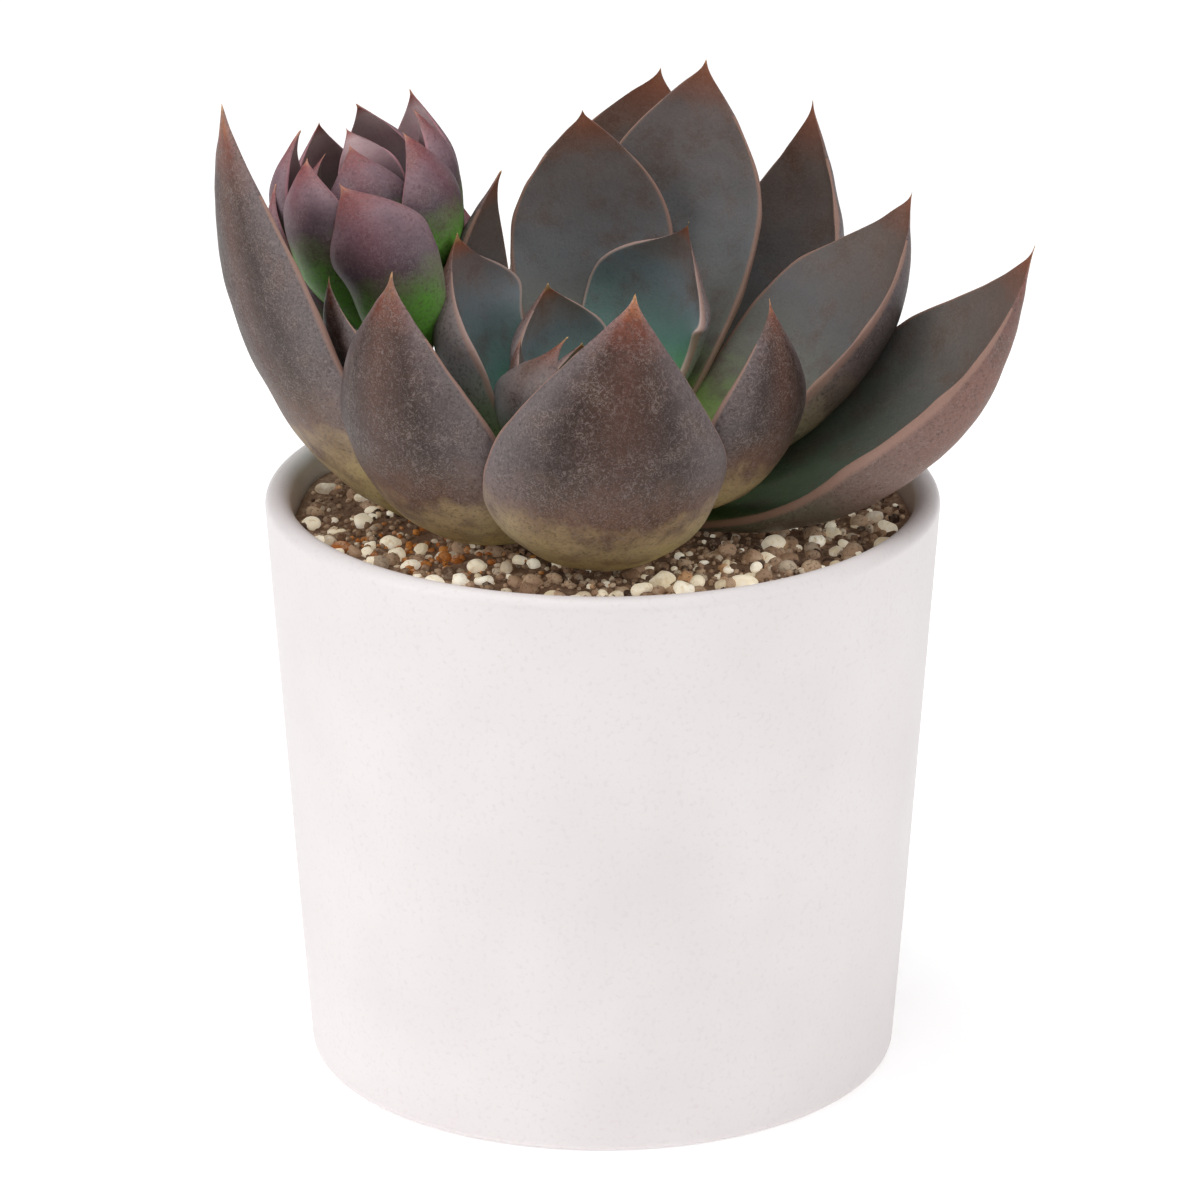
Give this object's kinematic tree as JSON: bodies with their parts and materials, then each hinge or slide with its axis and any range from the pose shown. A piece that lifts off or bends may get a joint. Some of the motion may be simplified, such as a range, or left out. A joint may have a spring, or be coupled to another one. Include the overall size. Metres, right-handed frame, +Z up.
{
  "type": "potted succulent",
  "caption": "Loose rosette succulent with a closed offset beside it, rooted in gritty soil with pumice stones, in a tapered white ceramic pot with a rounded rim.",
  "frame": {"origin": "centre of the pot's flat underside, on the surface it stands on", "axes": "+Z up along the pot's axis; -Y is the front of the plant, +X its right"},
  "size_m": [0.1183, 0.0998, 0.1485],
  "materials": {
    "pot_ceramic": "satin",
    "gritty_soil": "matte",
    "stem_skin": "satin",
    "outer_leaf": "satin",
    "inner_leaf": "satin",
    "offset_leaf": "satin",
    "pumice": "matte"
  },
  "bodies": {
    "root": {"pot": "pot_ceramic", "soil": "gritty_soil", "stem": "stem_skin", "offset_stem": "stem_skin", "leaf_left": "outer_leaf", "leaf_left_small": "outer_leaf", "leaf_front_left": "outer_leaf", "leaf_front": "outer_leaf", "leaf_back_low": "outer_leaf", "leaf_back_right": "outer_leaf", "leaf_right_low": "outer_leaf", "leaf_right": "outer_leaf", "leaf_front_right": "outer_leaf", "leaf_back_left_narrow": "outer_leaf", "leaf_back": "outer_leaf", "leaf_back_left": "outer_leaf", "leaf_inner_left": "inner_leaf", "leaf_inner_right": "inner_leaf", "leaf_inner_back": "inner_leaf", "leaf_inner_small": "inner_leaf", "leaf_heart_back": "inner_leaf", "leaf_heart_front": "inner_leaf", "offset_leaf_left_base": "offset_leaf", "offset_leaf_left_low": "offset_leaf", "offset_leaf_right_low": "offset_leaf", "offset_leaf_bud_back": "offset_leaf", "offset_leaf_left": "offset_leaf", "offset_leaf_front": "offset_leaf", "offset_leaf_right": "offset_leaf", "offset_leaf_back_right": "offset_leaf", "offset_leaf_back_left": "offset_leaf", "offset_leaf_mid_left": "offset_leaf", "offset_leaf_mid_right": "offset_leaf", "offset_leaf_mid_back": "offset_leaf", "offset_leaf_bud_left": "offset_leaf", "offset_leaf_bud_front": "offset_leaf", "pebble_01": "pumice", "pebble_02": "pumice", "pebble_03": "pumice", "pebble_04": "pumice", "pebble_05": "pumice", "pebble_06": "pumice", "pebble_07": "pumice", "pebble_08": "pumice", "pebble_09": "pumice", "pebble_10": "pumice", "pebble_11": "pumice", "pebble_12": "pumice", "pebble_13": "pumice"}
  },
  "joints": []
}
